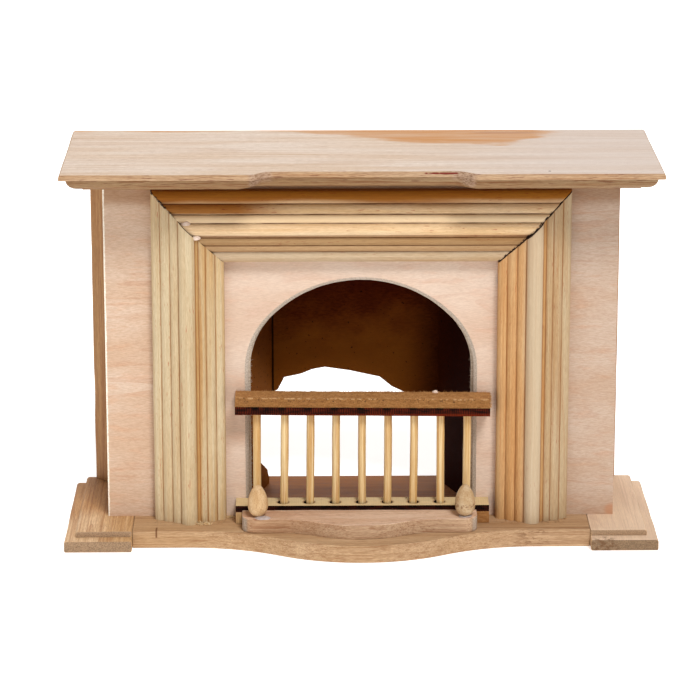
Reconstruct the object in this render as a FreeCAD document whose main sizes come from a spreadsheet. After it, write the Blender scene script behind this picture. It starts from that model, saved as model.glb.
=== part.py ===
import FreeCAD, Part
import math
import os
import re

import Sketcher

# Dolls' house fireplace, 1:12. Origin: middle of the base on the ground, +Z up, front towards -Y.
# Every size is a cell of the Sizes sheet, in millimetres.

DRIVING_SIZES = {
    # whole piece
    "back_y": 30.0,
    "base_high": 4.9,
    # mantel shelf
    "shelf_wide": 158.0,
    "shelf_deep": 55.0,
    "shelf_top_z": 105.0,
    "shelf_slab": 1.7,
    "shelf_mould": 3.6,
    "shelf_step": 1.8,
    "shelf_round": 3.5,
    "shelf_nose_round": 1.2,
    "recess_half": 24.5,
    "recess_run": 5.0,
    "recess_back": 3.6,
    # front panel and its arch
    "panel_half": 68.9,
    "panel_front_y": -4.7,
    "panel_thick": 3.0,
    "arch_half": 30.5,
    "arch_spring_z": 46.2,
    "arch_top_z": 71.2,
    "arch_shoulder": 21.0,
    "arch_bevel": 0.9,
    # fibreboard firebox
    "frame_half": 37.0,
    "frame_top_z": 78.0,
    "frame_lip": 0.6,
    "board_thick": 3.0,
    "cheek_front_half": 31.6,
    "cheek_back_half": 23.2,
    "cheek_back_shift": -1.1,
    "fireback_half": 26.2,
    # reeded surround
    "surround_inner_half": 36.65,
    "surround_inner_z": 77.1,
    "leg_outer_wide": 2.4,
    "leg_second_wide": 2.6,
    "leg_third_wide": 2.3,
    "leg_centre_wide": 4.5,
    "leg_fillet_wide": 0.8,
    "leg_fifth_wide": 1.95,
    "leg_sixth_wide": 2.5,
    "leg_inner_wide": 2.35,
    "top_outer_wide": 3.2,
    "top_second_wide": 2.6,
    "top_third_wide": 2.15,
    "top_centre_wide": 3.4,
    "top_fillet_wide": 0.6,
    "top_fifth_wide": 2.35,
    "top_sixth_wide": 1.95,
    "reed_edge_high": 2.6,
    "groove_one_high": 3.8,
    "groove_two_high": 5.0,
    "groove_three_high": 6.2,
    "groove_four_high": 6.2,
    "groove_five_high": 5.7,
    "groove_six_high": 5.1,
    "groove_seven_high": 3.9,
    "reed_crown": 0.55,
    "reed_centre_crown": 2.1,
    "mitre_gap": 0.35,
    # how far cutting outlines run past the material
    "cut_overrun": 2.0,
    # returns behind the panel
    "side_thick": 3.0,
    "strip_left_wide": 5.5,
    "strip_right_wide": 3.5,
    "strip_deep": 6.0,
    "strip_bevel_deep": 4.6,
    "strip_face_wide": 1.2,
    # hearth and end blocks
    "hearth_half": 61.8,
    "hearth_front_y": -17.3,
    "hearth_bulge": 12.7,
    "hearth_nose_radius": 44.0,
    "hearth_curve_half": 47.0,
    "plinth_wide": 18.2,
    "plinth_ledge": 2.9,
    "plinth_front_ledge": 3.6,
    "plinth_upper": 1.7,
    "plinth_round": 0.9,
    # fire grate
    "grate_left_x": -34.0,
    "grate_right_x": 34.7,
    "grate_front_y": -11.6,
    "cap_under_z": 37.65,
    "cap_thick": 2.55,
    "strip_thick": 2.25,
    "bottom_strip_z": 8.2,
    "bottom_strip_thick": 1.8,
    "bar_count": 9,
    "bar_pitch": 7.08,
    "bar_radius": 1.05,
    "bar_y": -8.3,
    "top_hole_radius": 1.1,
    "bottom_hole_radius": 1.5,
    "bottom_hole_forward": 0.35,
    "foot_left_wide": 2.2,
    "foot_right_wide": 3.4,
    # fender and finials
    "fender_half": 31.7,
    "fender_shift": -0.5,
    "fender_high": 3.9,
    "fender_end_y": -19.6,
    "fender_bulge": 5.3,
    "fender_nose_radius": 25.0,
    "fender_curve_half": 21.0,
    "fender_end_round": 3.6,
    "finial_half": 27.9,
    "finial_y": -16.9,
    "finial_high": 8.9,
    "finial_radius": 2.72,
    "finial_foot_radius": 1.3,
    "finial_belly": 3.4,
    "finial_foot_curve": 3.6,
    "finial_shoulder_radius": 8.2,
    "finial_tip_radius": 0.9,
    "finial_tip_high": 0.35,
    "finial_tip_flat": 0.25,
}

DERIVED_SIZES = {
    "shelf_under_z": "=shelf_top_z - shelf_slab - shelf_mould",
    "shelf_front_y": "=back_y - shelf_deep",
    "panel_back_y": "=panel_front_y + panel_thick",
    "frame_back_y": "=panel_back_y + board_thick",
    "fireback_y": "=back_y - board_thick",
    "arch_rise": "=arch_top_z - arch_spring_z",
    "arch_crown": "=(arch_half ^ 2 + arch_rise ^ 2 - 2 * arch_half * arch_shoulder)"
                  " / (2 * (arch_rise - arch_shoulder))",
    "surround_wide": "=leg_outer_wide + leg_second_wide + leg_third_wide + leg_centre_wide"
                     " + leg_fillet_wide + leg_fifth_wide + leg_sixth_wide + leg_inner_wide",
    "top_inner_wide": "=surround_wide - top_outer_wide - top_second_wide - top_third_wide"
                      " - top_centre_wide - top_fillet_wide - top_fifth_wide - top_sixth_wide",
    "surround_outer_half": "=surround_inner_half + surround_wide",
    "surround_outer_z": "=surround_inner_z + surround_wide",
    "hearth_radii": "=(hearth_curve_half ^ 2 + hearth_bulge ^ 2) / (2 * hearth_bulge)",
    "fender_radii": "=(fender_curve_half ^ 2 + fender_bulge ^ 2) / (2 * fender_bulge)",
    "cap_top_z": "=cap_under_z + cap_thick",
    "top_strip_z": "=cap_under_z - strip_thick",
}

doc = FreeCAD.newDocument("Fireplace")
sheet = doc.addObject("Spreadsheet::Sheet", "Sizes")
for row, (alias, value) in enumerate([*DRIVING_SIZES.items(), *DERIVED_SIZES.items()], start=1):
    sheet.set(f"A{row}", alias)
    sheet.set(f"B{row}", str(value))
    sheet.setAlias(f"B{row}", alias)
doc.recompute()

NODES = []
TOLERANCE = 0.01


def size(alias):
    """A cell of the sheet as a plain number."""
    return float(getattr(sheet, alias))


def cells(expression):
    """The expression with each word that names a cell pointed at the sheet."""
    known = {*DRIVING_SIZES, *DERIVED_SIZES}

    def point(match):
        word = match.group()
        return f"Sizes.{word}" if word in known else word

    return re.sub(r"[a-z]\w*", point, expression)


def new_body(name):
    """A PartDesign body that becomes one node."""
    body = doc.addObject("PartDesign::Body", name)
    body.Label = name
    NODES.append(body)
    return body


def keep(piece, name):
    """Gives a finished Part object its node name."""
    piece.Label = name
    NODES.append(piece)
    return piece


def sketch_on(body, role, name):
    """An empty sketch on one of the body's own origin planes."""
    sketch = body.newObject("Sketcher::SketchObject", name)
    plane = next(item for item in body.Origin.OriginFeatures if item.Role == role)
    sketch.AttachmentSupport = [(plane, "")]
    sketch.MapMode = "FlatFace"
    return sketch


def pin_point(sketch, geometry, end, across, up):
    """Places one end of a line or arc at a pair of expressions, measured from the origin."""
    for kind, expression in (("DistanceX", across), ("DistanceY", up)):
        value = sketch.evalExpression(expression)
        number = sketch.addConstraint(Sketcher.Constraint(kind, geometry, end, float(value)))
        sketch.setExpression(f"Constraints[{number}]", expression)


def outline(sketch, corners):
    """A closed outline. Each corner is (across, up) or (across, up, radius, side).

    A radius makes the edge to the next corner an arc; side 1 bulges to the right of travel, -1 left.
    """
    corners = [[cells(corner[0]), cells(corner[1]), *corner[2:]] for corner in corners]
    places = [
        FreeCAD.Vector(*(float(sketch.evalExpression(word)) for word in corner[:2]), 0)
        for corner in corners
    ]
    edges = []
    for index, corner in enumerate(corners):
        start = places[index]
        end = places[(index + 1) % len(corners)]
        if len(corner) == 2:
            edges.append(sketch.addGeometry(Part.LineSegment(start, end)))
            continue
        radius_word = cells(corner[2])
        radius = float(sketch.evalExpression(radius_word))
        chord = end - start
        sagitta = radius - math.sqrt(radius**2 - (chord.Length / 2) ** 2)
        outward = FreeCAD.Vector(chord.y, -chord.x, 0).normalize() * corner[3]
        arc = Part.Arc(start, start + chord / 2 + outward * sagitta, end)
        edges.append(sketch.addGeometry(arc))
    # An arc is stored anticlockwise, so the end that meets the travel's start depends on its side.
    first_end = {}
    for index, corner in enumerate(corners):
        backwards = len(corner) == 4 and corner[3] == -1
        first_end[index] = 2 if backwards else 1
    for index, corner in enumerate(corners):
        after = (index + 1) % len(corners)
        pin_point(sketch, edges[index], first_end[index], corner[0], corner[1])
        sketch.addConstraint(
            Sketcher.Constraint(
                "Coincident", edges[index], 3 - first_end[index], edges[after], first_end[after]
            )
        )
        if len(corner) == 4:
            radius_word = cells(corner[2])
            radius = float(sketch.evalExpression(radius_word))
            number = sketch.addConstraint(Sketcher.Constraint("Radius", edges[index], radius))
            sketch.setExpression(f"Constraints[{number}]", radius_word)
    return sketch


def circle(sketch, across, up, radius):
    """A full circle at a pair of expressions."""
    across, up, radius = cells(across), cells(up), cells(radius)
    centre = FreeCAD.Vector(
        float(sketch.evalExpression(across)), float(sketch.evalExpression(up)), 0
    )
    radius_value = float(sketch.evalExpression(radius))
    ring = sketch.addGeometry(Part.Circle(centre, FreeCAD.Vector(0, 0, 1), radius_value))
    pin_point(sketch, ring, 3, across, up)
    number = sketch.addConstraint(Sketcher.Constraint("Radius", ring, radius_value))
    sketch.setExpression(f"Constraints[{number}]", radius)


def pad(body, sketch, length, start=None, name="Pad"):
    """Pads a sketch along its plane's normal; start lifts the sketch along that normal first."""
    if start is not None:
        sketch.setExpression("AttachmentOffset.Base.z", cells(start))
    feature = body.newObject("PartDesign::Pad", name)
    feature.Profile = sketch
    feature.setExpression("Length", cells(length))
    sketch.Visibility = False
    doc.recompute()
    return feature


def pocket(body, sketch, name="Pocket"):
    """Cuts a sketch right through the body, both ways along its normal, and checks that it cut."""
    before = body.Shape.Volume
    feature = body.newObject("PartDesign::Pocket", name)
    feature.Profile = sketch
    feature.Type = "ThroughAll"
    feature.Midplane = True
    doc.recompute()
    if not body.Shape.Volume < before - 1e-6:
        raise ValueError(f"{body.Label}: {name} cuts nothing")
    return feature


def edge_names(shape, test):
    """The names of the edges whose middle point and edge pass the test."""
    names = []
    for number, edge in enumerate(shape.Edges, start=1):
        middle = edge.valueAt((edge.FirstParameter + edge.LastParameter) / 2)
        if test(middle, edge):
            names.append(f"Edge{number}")
    return names


def dress(body, base, kind, names, expression, name):
    """Fillets or chamfers the named edges of a feature."""
    feature = body.newObject(f"PartDesign::{kind}", name)
    feature.Base = (base, names)
    feature.setExpression("Radius" if kind == "Fillet" else "Size", cells(expression))
    doc.recompute()
    return feature


def near(value, target):
    return abs(value - target) < TOLERANCE


def box(name, low, high):
    """A Part::Box between two corners, each three expressions."""
    piece = doc.addObject("Part::Box", name)
    for axis, prop in enumerate(("Length", "Width", "Height")):
        piece.setExpression(prop, cells(f"( {high[axis]} ) - ( {low[axis]} )"))
        piece.setExpression(f"Placement.Base.{'xyz'[axis]}", cells(low[axis]))
    doc.recompute()
    return piece


# --- mantel shelf ---------------------------------------------------------------------------------


def shelf_outline(sketch, inset):
    """The shelf seen from above, drawn in by inset on the front and both ends.

    The two slanting runs of the recess move along by inset times the tangent of half their slope.
    """
    half = f"shelf_wide / 2 - {inset}"
    front = f"shelf_front_y + {inset}"
    slope = "atan2(recess_back; recess_run)"
    shift = f"{inset} * tan({slope} / 2)"
    outer = f"recess_half + recess_run - {shift}"
    inner = f"recess_half - {shift}"
    corners = [
        (f"-( {half} )", "back_y"),
        (f"-( {half} )", front),
        (f"-( {outer} )", front),
        (f"-( {inner} )", f"{front} + recess_back"),
        (inner, f"{front} + recess_back"),
        (outer, front),
        (half, front),
        (half, "back_y"),
    ]
    return outline(sketch, corners)


def mantel_shelf():
    """Upper slab with an eased nose over a set-back quarter-round moulding."""
    body = new_body("mantel_shelf")
    slab = shelf_outline(sketch_on(body, "XY_Plane", "SlabOutline"), "0")
    slab_pad = pad(body, slab, "shelf_slab", "shelf_top_z - shelf_slab", "Slab")
    back, top = size("back_y"), size("shelf_top_z")

    def nose(middle, _):
        return near(middle.z, top) and not near(middle.y, back)

    dress(body, slab_pad, "Fillet", edge_names(slab_pad.Shape, nose), "shelf_nose_round", "Nose")
    mould = shelf_outline(sketch_on(body, "XY_Plane", "MouldOutline"), "shelf_step")
    mould_pad = pad(body, mould, "shelf_mould", "shelf_under_z", "Mould")
    under = size("shelf_under_z")

    def lower_edge(middle, _):
        return near(middle.z, under) and not near(middle.y, back)

    dress(body, mould_pad, "Fillet", edge_names(mould_pad.Shape, lower_edge), "shelf_round", "Ovolo")


# --- front panel and the fibreboard firebox -------------------------------------------------------


def arch_outline(sketch, lip):
    """Arched opening: straight jambs, two shoulder arcs and a flatter crown, drawn in by lip."""
    half = f"arch_half - {lip}"
    shoulder = f"arch_shoulder - {lip}"
    crown = f"arch_crown - {lip}"
    shoulder_x = "( arch_half - arch_shoulder )"
    crown_z = "( arch_top_z - arch_crown )"
    # Where shoulder and crown meet lies on the line through both their centres.
    lean = f"{shoulder_x} / ( arch_crown - arch_shoulder )"
    rise = f"( arch_spring_z - {crown_z} ) / ( arch_crown - arch_shoulder )"
    meet_x = f"( {crown} ) * {lean}"
    meet_z = f"{crown_z} + ( {crown} ) * {rise}"
    corners = [
        (f"-( {half} )", "base_high - cut_overrun"),
        (half, "base_high - cut_overrun"),
        (half, "arch_spring_z", shoulder, 1),
        (meet_x, meet_z, crown, 1),
        (f"-( {meet_x} )", meet_z, shoulder, 1),
        (f"-( {half} )", "arch_spring_z"),
    ]
    return outline(sketch, corners)


def arched_board(name, half, top, front, thick, lip):
    """An upright board standing on the hearth with the arch cut through it."""
    body = new_body(name)
    corners = [
        (f"-{half}", "base_high"),
        (half, "base_high"),
        (half, top),
        (f"-{half}", top),
    ]
    sheet_sketch = outline(sketch_on(body, "XZ_Plane", "Board"), corners)
    # The XZ plane's normal points to -Y, so the board's back is the pad's start.
    pad(body, sheet_sketch, thick, f"-( {front} + {thick} )", "Board")
    arch = pocket(body, arch_outline(sketch_on(body, "XZ_Plane", "ArchOutline"), lip), "Arch")
    return body, arch


def front_panel():
    body, arch = arched_board(
        "front_panel", "panel_half", "shelf_under_z", "panel_front_y", "panel_thick", "0"
    )
    front = size("panel_front_y")
    half = size("arch_half")

    def arch_edge(middle, _):
        inside = abs(middle.x) < half + TOLERANCE and middle.z > size("base_high") + TOLERANCE
        return near(middle.y, front) and inside and middle.z < size("arch_top_z") + TOLERANCE

    dress(body, arch, "Chamfer", edge_names(arch.Shape, arch_edge), "arch_bevel", "ArchBevel")


def firebox_cheek(name, side):
    """Splayed side of the firebox; side -1 is left."""
    body = new_body(name)
    front = f"{side} * cheek_front_half"
    back = f"cheek_back_shift + {side} * cheek_back_half"
    corners = [
        (front, "frame_back_y"),
        (f"{front} + {side} * board_thick", "frame_back_y"),
        (f"{back} + {side} * board_thick", "fireback_y"),
        (back, "fireback_y"),
    ]
    floor = outline(sketch_on(body, "XY_Plane", "Plan"), corners)
    pad(body, floor, "frame_top_z - base_high", "base_high")
    return body


# Rough-cut edges, as (place along the board, height above the hearth).
ROUGH_CHEEK_TOP = 24.5
ROUGH_CHEEK_FOOT = -1.0
ROUGH_CHEEK_EDGE = (
    (15.6, 24.0), (13.4, 20.5), (12.8, 14.6), (14.6, 9.4), (19.0, 6.4), (21.8, 4.6), (23.3, 1.9),
    (23.8, -1.0),
)
ROUGH_BACK_LEFT = 24.0
ROUGH_BACK_RIGHT = 18.6
ROUGH_BACK_EDGE = (
    (-22.8, 26.4), (-21.0, 30.0), (-16.0, 31.1), (-12.4, 32.6), (-9.6, 32.9), (-2.6, 31.9),
    (5.8, 30.1), (9.2, 27.2), (12.6, 25.6),
)


def left_cheek():
    """The left cheek has its lower rear corner roughly cut away, in line with the back's edge."""
    body = firebox_cheek("firebox_cheek_left", -1)
    rough_edge = [("back_y", f"base_high + {ROUGH_CHEEK_TOP}")]
    rough_edge += [(str(depth), f"base_high + {height}") for depth, height in ROUGH_CHEEK_EDGE]
    rough_edge += [("back_y", f"base_high + {ROUGH_CHEEK_FOOT}")]
    pocket(body, outline(sketch_on(body, "YZ_Plane", "RoughCut"), rough_edge), "RoughCut")


def fireback():
    """Upper back board of the firebox; its lower edge is rough-cut and leaves the bottom open."""
    body = new_body("fireback")
    left, right = "cheek_back_shift - fireback_half", "cheek_back_shift + fireback_half"
    corners = [(left, f"base_high + {ROUGH_BACK_LEFT}")]
    corners += [(str(across), f"base_high + {height}") for across, height in ROUGH_BACK_EDGE]
    corners += [(right, f"base_high + {ROUGH_BACK_RIGHT}")]
    corners += [(right, "frame_top_z"), (left, "frame_top_z")]
    board = outline(sketch_on(body, "XZ_Plane", "Board"), corners)
    pad(body, board, "board_thick", "-back_y", "Board")


# --- reeded surround ------------------------------------------------------------------------------

REEDS = ("outer", "second", "third", "centre", "fillet", "fifth", "sixth", "inner")
GROOVES = (
    "reed_edge_high", "groove_one_high", "groove_two_high", "groove_three_high", "groove_four_high",
    "groove_five_high", "groove_six_high", "groove_seven_high", "reed_edge_high",
)


def reed_outline(sketch, place, family, turned=False):
    """Section of the moulding: seven round reeds that meet in grooves, tallest in the middle, with
    a narrow fillet beside the middle one.

    place turns (distance in from the outer edge, height off the panel) into sketch expressions.
    The outline runs along the reeds from the outer edge and comes back along the flat back. A
    turned length of moulding has its order of reeds reversed.
    """
    reeds = REEDS[::-1] if turned else REEDS
    grooves = GROOVES[::-1] if turned else GROOVES
    corners = [place("0", "0", None)]
    reached = "0"
    for reed, before, after in zip(reeds, grooves, grooves[1:]):
        wide = f"{family}_{reed}_wide"
        crown = "reed_centre_crown" if reed == "centre" else "reed_crown"
        radius = f"( {wide} ^ 2 + ( {after} - {before} ) ^ 2 + 4 * {crown} ^ 2 ) / ( 8 * {crown} )"
        corners.append(place(reached, before, None if reed == "fillet" else radius))
        reached = f"{reached} + {wide}"
    corners.append(place(reached, grooves[-1], None))
    corners.append(place(reached, "0", None))
    return outline(sketch, corners)


def mitre_cut(body, corners):
    pocket(body, outline(sketch_on(body, "XZ_Plane", "Mitre"), corners), "Mitre")


def surround_leg(name, side, gap):
    """Upright moulding, cut at 45 degrees at its top; side -1 is left, gap opens the mitre.

    The right leg is the same moulding turned end for end, so its reeds run in the other order.
    """
    body = new_body(name)

    def place(inward, height, radius):
        across = f"{side} * ( surround_outer_half - ( {inward} ) )"
        up = f"panel_front_y - ( {height} )"
        # On the left leg the crowned side is to the right of travel, on the right leg to the left.
        return (across, up, radius, -side) if radius else (across, up)

    section = reed_outline(sketch_on(body, "XY_Plane", "Section"), place, "leg", side > 0)
    pad(body, section, "surround_outer_z - base_high", "base_high")
    mitre_cut(body, [
        (f"{side} * ( surround_outer_half + cut_overrun )", f"surround_outer_z + cut_overrun - {gap}"),
        (f"{side} * ( surround_inner_half - cut_overrun )", f"surround_inner_z - cut_overrun - {gap}"),
        (f"{side} * ( surround_inner_half - cut_overrun )", f"surround_outer_z + cut_overrun"),
    ])


def surround_top():
    """Cross moulding with a 45 degree cut at both ends."""
    body = new_body("surround_top")

    def place(inward, height, radius):
        across = f"panel_front_y - ( {height} )"
        up = f"surround_outer_z - ( {inward} )"
        return (across, up, radius, 1) if radius else (across, up)

    section = reed_outline(sketch_on(body, "YZ_Plane", "Section"), place, "top")
    pad(body, section, "2 * surround_outer_half", "-surround_outer_half")
    for side in (-1, 1):
        mitre_cut(body, [
            (f"{side} * ( surround_outer_half + cut_overrun )", f"surround_outer_z + cut_overrun"),
            (f"{side} * ( surround_inner_half - cut_overrun )", f"surround_inner_z - cut_overrun"),
            (f"{side} * ( surround_outer_half + cut_overrun )", f"surround_inner_z - cut_overrun"),
        ])


# --- returns behind the panel ---------------------------------------------------------------------


def side_board(name, side):
    """Narrow board from the back of the panel to the wall."""
    inner = "panel_half - side_thick"
    low_x = f"-( {inner} ) - side_thick" if side < 0 else inner
    piece = box(
        name,
        (low_x, "panel_back_y", "base_high"),
        (f"( {low_x} ) + side_thick", "back_y", "shelf_under_z"),
    )
    keep(piece, name)


def corner_strip(name, side, wide):
    """Strip down the rear corner, its front outer face bevelled back at 45 degrees."""
    body = new_body(name)
    inner = f"{side} * panel_half"
    outer = f"{side} * ( panel_half + {wide} )"
    corners = [
        (inner, "back_y - strip_deep"),
        (inner, "back_y"),
        (outer, "back_y"),
        (outer, "back_y - strip_deep + strip_bevel_deep"),
        (f"{inner} + {side} * strip_face_wide", "back_y - strip_deep"),
    ]
    section = outline(sketch_on(body, "XY_Plane", "Section"), corners)
    pad(body, section, "shelf_under_z - base_high", "base_high")


# --- hearth, end blocks ---------------------------------------------------------------------------


def serpentine(half, middle, flat, bulge, nose, curve_half, radii):
    """Front edge from left to right: flat, hollow curve, bulging nose, hollow curve, flat.

    radii is the nose radius plus the hollow radius, which makes the three arcs tangent.
    """
    meet = f"{curve_half} * {nose} / {radii}"
    meet_y = f"{flat} - {bulge} + {nose} - {nose} * ( {radii} - {bulge} ) / {radii}"
    hollow = f"{radii} - {nose}"
    return [
        (f"{middle} - {half}", flat),
        (f"{middle} - {curve_half}", flat, hollow, -1),
        (f"{middle} - {meet}", meet_y, nose, 1),
        (f"{middle} + {meet}", meet_y, hollow, -1),
        (f"{middle} + {curve_half}", flat),
        (f"{middle} + {half}", flat),
    ]


def hearth_board():
    body = new_body("hearth_board")
    front = serpentine(
        "hearth_half", "0", "hearth_front_y", "hearth_bulge",
        "hearth_nose_radius", "hearth_curve_half", "hearth_radii",
    )
    corners = front + [
        ("hearth_half", "back_y"),
        ("-hearth_half", "back_y"),
    ]
    pad(body, outline(sketch_on(body, "XY_Plane", "Plan"), corners), "base_high")


def plinth(name, side):
    """End block: a lower step that shows on the front and outer side, and an upper step."""
    body = new_body(name)
    inner = f"{side} * hearth_half"
    steps = (
        ("Lower", "0", "0", "base_high - plinth_upper", "0"),
        ("Upper", "plinth_ledge", "plinth_front_ledge", "plinth_upper", "base_high - plinth_upper"),
    )
    for label, inset, front_inset, high, start in steps:
        outer = f"{inner} + {side} * ( plinth_wide - {inset} )"
        front = f"hearth_front_y - plinth_front_ledge + {front_inset}"
        corners = [(inner, front), (outer, front), (outer, "back_y"), (inner, "back_y")]
        plan = outline(sketch_on(body, "XY_Plane", f"{label}Plan"), corners)
        step = pad(body, plan, high, start, label)
        crest = size("base_high") if label == "Upper" else size("base_high") - size("plinth_upper")
        block_middle = size("hearth_half") + size("plinth_wide") / 2

        def outer_top(middle, edge):
            along = edge.BoundBox.YLength > size("back_y")
            return along and near(middle.z, crest) and abs(middle.x) > block_middle

        names = edge_names(step.Shape, outer_top)
        dress(body, step, "Fillet", names, "plinth_round", f"{label}Round")


# --- fire grate -----------------------------------------------------------------------------------


def holed_strip(name, low_z, thick, hole_radius, forward="0"):
    """Thin strip with a row of holes for the bars."""
    body = new_body(name)
    corners = [
        ("grate_left_x", "grate_front_y"),
        ("grate_right_x", "grate_front_y"),
        ("grate_right_x", "panel_front_y"),
        ("grate_left_x", "panel_front_y"),
    ]
    pad(body, outline(sketch_on(body, "XY_Plane", "Plan"), corners), thick, low_z)
    holes = sketch_on(body, "XY_Plane", "Hole")
    holes.setExpression("AttachmentOffset.Base.z", cells(low_z))
    circle(holes, "-( bar_count - 1 ) / 2 * bar_pitch", f"bar_y - {forward}", hole_radius)
    first = pocket(body, holes, "Hole")
    row = body.newObject("PartDesign::LinearPattern", "HoleRow")
    row.Originals = [first]
    row.Direction = (holes, ["H_Axis"])
    row.setExpression("Length", cells("( bar_count - 1 ) * bar_pitch"))
    row.setExpression("Occurrences", cells("bar_count"))
    body.Tip = row
    doc.recompute()


def grate():
    cap = box(
        "grate_cap_rail",
        ("grate_left_x", "grate_front_y", "cap_under_z"),
        ("grate_right_x", "panel_front_y", "cap_top_z"),
    )
    keep(cap, "grate_cap_rail")
    holed_strip("grate_top_strip", "top_strip_z", "strip_thick", "top_hole_radius")
    holed_strip(
        "grate_bottom_strip", "bottom_strip_z", "bottom_strip_thick", "bottom_hole_radius",
        "bottom_hole_forward",
    )
    foot_low_y, foot_high_y = "grate_front_y", "panel_front_y"
    left = box(
        "grate_foot_left",
        ("grate_left_x", foot_low_y, "base_high"),
        ("grate_left_x + foot_left_wide", foot_high_y, "bottom_strip_z"),
    )
    keep(left, "grate_foot_left")
    right = box(
        "grate_foot_right",
        ("grate_right_x - foot_right_wide", foot_low_y, "base_high"),
        ("grate_right_x", foot_high_y, "bottom_strip_z"),
    )
    keep(right, "grate_foot_right")
    for number in range(1, round(size("bar_count")) + 1):
        bar = doc.addObject("Part::Cylinder", f"grate_bar_{number}")
        bar.setExpression("Radius", cells("bar_radius"))
        bar.setExpression("Height", cells("cap_under_z - bottom_strip_z"))
        place = f"( {number} - ( bar_count + 1 ) / 2 ) * bar_pitch"
        bar.setExpression("Placement.Base.x", cells(place))
        bar.setExpression("Placement.Base.y", cells("bar_y"))
        bar.setExpression("Placement.Base.z", cells("bottom_strip_z"))
        keep(bar, f"grate_bar_{number}")


# --- fender and finials ---------------------------------------------------------------------------


def fender():
    body = new_body("fender")
    front = serpentine(
        "fender_half", "fender_shift", "fender_end_y", "fender_bulge",
        "fender_nose_radius", "fender_curve_half", "fender_radii",
    )
    corners = front + [
        ("fender_shift + fender_half", "grate_front_y"),
        ("fender_shift - fender_half", "grate_front_y"),
    ]
    plan = outline(sketch_on(body, "XY_Plane", "Plan"), corners)
    block = pad(body, plan, "fender_high", "base_high", "Block")
    end_y = size("fender_end_y")

    def front_corner(middle, edge):
        upright = near(edge.BoundBox.ZLength, size("fender_high"))
        at_end = near(abs(middle.x - size("fender_shift")), size("fender_half"))
        return upright and at_end and near(middle.y, end_y)

    dress(body, block, "Fillet", edge_names(block.Shape, front_corner), "fender_end_round", "Ends")


def finial(name, side):
    """Turned egg with a pointed top, standing on the fender."""
    body = new_body(name)
    foot_z = "base_high + fender_high"
    top_z = f"{foot_z} + finial_high"
    belly_z = f"{foot_z} + finial_belly"
    corners = [
        ("0", foot_z),
        ("finial_foot_radius", foot_z, "finial_foot_curve", 1),
        ("finial_radius", belly_z, "finial_shoulder_radius", 1),
        ("finial_tip_radius", f"{top_z} - finial_tip_high", "finial_tip_radius", 1),
        ("finial_tip_flat", top_z),
        ("0", top_z),
    ]
    half = outline(sketch_on(body, "XZ_Plane", "HalfSection"), corners)
    spin = body.newObject("PartDesign::Revolution", "Egg")
    spin.Profile = half
    spin.ReferenceAxis = (half, ["V_Axis"])
    spin.Angle = 360
    body.setExpression("Placement.Base.x", cells(f"{side} * finial_half"))
    body.setExpression("Placement.Base.y", cells("finial_y"))
    doc.recompute()


# --- build and write ------------------------------------------------------------------------------


def build():
    mantel_shelf()
    front_panel()
    arched_board(
        "firebox_frame", "frame_half", "frame_top_z", "panel_back_y", "board_thick", "frame_lip"
    )
    left_cheek()
    firebox_cheek("firebox_cheek_right", 1)
    fireback()
    surround_leg("surround_left", -1, "0")
    surround_top()
    surround_leg("surround_right", 1, "mitre_gap")
    side_board("side_board_left", -1)
    side_board("side_board_right", 1)
    corner_strip("corner_strip_left", -1, "strip_left_wide")
    corner_strip("corner_strip_right", 1, "strip_right_wide")
    hearth_board()
    plinth("plinth_left", -1)
    plinth("plinth_right", 1)
    grate()
    fender()
    finial("finial_left", -1)
    finial("finial_right", 1)
    doc.recompute()


def check():
    """Stops if any object failed or any piece is not one valid solid."""
    for item in doc.Objects:
        if "Invalid" in item.State or "Error" in item.State:
            raise ValueError(f"{item.Label}: {item.State}")
    for piece in NODES:
        shape = piece.Shape
        if shape.isNull() or not shape.isValid() or len(shape.Solids) != 1:
            raise ValueError(f"{piece.Label} is not one valid solid")


def write():
    os.makedirs("parts", exist_ok=True)
    for piece in NODES:
        piece.Shape.exportStep(f"parts/{piece.Label}.step")
        bounds = piece.Shape.BoundBox
        print(f"{piece.Label}: volume {piece.Shape.Volume:.1f} mm3, "
              f"x {bounds.XMin:.2f} {bounds.XMax:.2f}, y {bounds.YMin:.2f} {bounds.YMax:.2f}, "
              f"z {bounds.ZMin:.2f} {bounds.ZMax:.2f}")


build()
check()
write()
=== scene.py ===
import math
import random

import bmesh
import bpy
from mathutils import Matrix, Vector, noise


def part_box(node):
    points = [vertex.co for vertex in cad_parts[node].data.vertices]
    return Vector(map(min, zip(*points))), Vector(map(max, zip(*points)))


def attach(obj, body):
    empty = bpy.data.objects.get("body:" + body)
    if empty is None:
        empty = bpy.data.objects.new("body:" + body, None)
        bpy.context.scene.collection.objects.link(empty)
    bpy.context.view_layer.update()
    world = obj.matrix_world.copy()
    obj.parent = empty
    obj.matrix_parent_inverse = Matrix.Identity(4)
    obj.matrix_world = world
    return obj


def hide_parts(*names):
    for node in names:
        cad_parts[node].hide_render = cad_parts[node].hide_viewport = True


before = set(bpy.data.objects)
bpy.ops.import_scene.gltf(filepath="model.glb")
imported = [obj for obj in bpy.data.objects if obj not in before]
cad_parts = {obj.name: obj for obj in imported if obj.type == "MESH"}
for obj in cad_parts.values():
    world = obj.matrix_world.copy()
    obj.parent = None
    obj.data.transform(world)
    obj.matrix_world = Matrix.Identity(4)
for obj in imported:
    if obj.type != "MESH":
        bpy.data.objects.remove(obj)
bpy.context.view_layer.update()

# Looks of a dolls' house fireplace in bare wood. Lengths in the tables and calls below are in
# millimetres and are turned to metres by MM; positions come from the CAD nodes' boxes.

MM = 0.001
dice = random.Random(21)
# Without this, noise_vector starts from the clock and every run bends the pieces differently.
noise.seed_set(21)


def low(node):
    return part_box(node)[0] / MM


def high(node):
    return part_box(node)[1] / MM


def middle(node):
    return (low(node) + high(node)) / 2


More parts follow.
